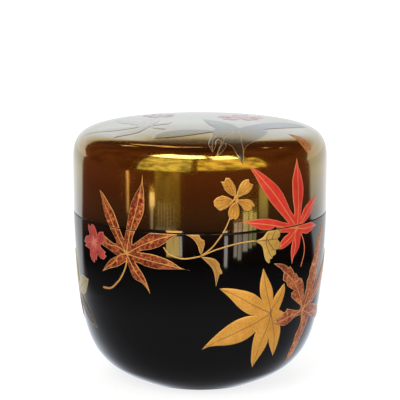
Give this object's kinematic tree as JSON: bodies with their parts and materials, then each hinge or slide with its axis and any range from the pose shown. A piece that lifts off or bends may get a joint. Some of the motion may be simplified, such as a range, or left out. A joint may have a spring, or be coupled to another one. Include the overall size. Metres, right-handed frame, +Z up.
{
  "type": "tea caddy",
  "caption": "Round lacquered tea caddy with a deep drop-over lid on a tall inner collar, a small foot ring, and raised leaf and blossom ornament.",
  "frame": {"origin": "centre of the foot ring's resting plane", "axes": "+Z up along the turning axis, out through the lid's crown; -Y is the front, where the main spray of leaves sits"},
  "size_m": [0.066, 0.0663, 0.0667],
  "materials": {
    "bare_wood": "fine-turned wood, unseen under the lacquer",
    "black_lacquer": "mirror-polished black lacquer",
    "gold_dust_lacquer": "polished lacquer with sprinkled gold dust, fading into black at the edge",
    "lining_lacquer": "satin black lacquer lining",
    "gold_relief": "raised gold powder, satin",
    "pale_gold_relief": "raised pale gold powder, satin",
    "mottled_relief": "raised brown-red lacquer mottled with gold powder",
    "red_relief": "raised vermilion lacquer with gold veins",
    "rose_relief": "raised rose-red lacquer with fine gold lines",
    "pink_relief": "raised pink lacquer",
    "black_relief": "black lacquer hatched with fine gold lines",
    "brown_relief": "brown gold-dusted lacquer with a gold outline"
  },
  "bodies": {
    "vessel": {"vessel_wood_core": "bare_wood", "vessel_outer_lacquer": "black_lacquer", "vessel_inner_lacquer": "lining_lacquer", "vessel_base_lacquer": "black_lacquer", "leaf_mottled_vessel": "mottled_relief", "blossom_red": "rose_relief", "sprig_gold_vessel": "gold_relief", "leaf_red_vessel": "red_relief", "bud_gold": "pale_gold_relief", "leaf_toothed": "mottled_relief", "leaf_gold": "gold_relief", "leaf_pale": "pale_gold_relief", "leaf_gold_back": "gold_relief", "leaf_red_back_vessel": "red_relief", "leaf_mottled_back": "mottled_relief", "blossom_red_back": "rose_relief"},
    "lid_lining": {"lid_inner_lacquer": "lining_lacquer"},
    "lid": {"lid_wood_core": "bare_wood", "lid_outer_lacquer": "gold_dust_lacquer", "leaf_mottled_lid_a": "mottled_relief", "leaf_mottled_lid_b": "mottled_relief", "blossom_gold_lid": "gold_relief", "leaf_red_lid": "red_relief", "leaf_red_back_lid": "red_relief", "blossom_gold_back": "gold_relief", "blossom_gold_side": "gold_relief", "leaf_black_top": "black_relief", "leaf_line_top": "brown_relief", "leaf_brown_top": "mottled_relief", "blossom_pink_top": "pink_relief", "blossom_lilac_top": "pink_relief"}
  },
  "joints": [
    {"name": "lid_lift", "type": "slide", "parent": "vessel", "child": "lid_lining", "axis": [0, 0, 1], "range_m": [0, 0.07]},
    {"name": "lid_turn", "type": "hinge", "parent": "lid_lining", "child": "lid", "pos_m": [0, 0, 0.0445], "axis": [0, 0, 1], "continuous": true}
  ]
}
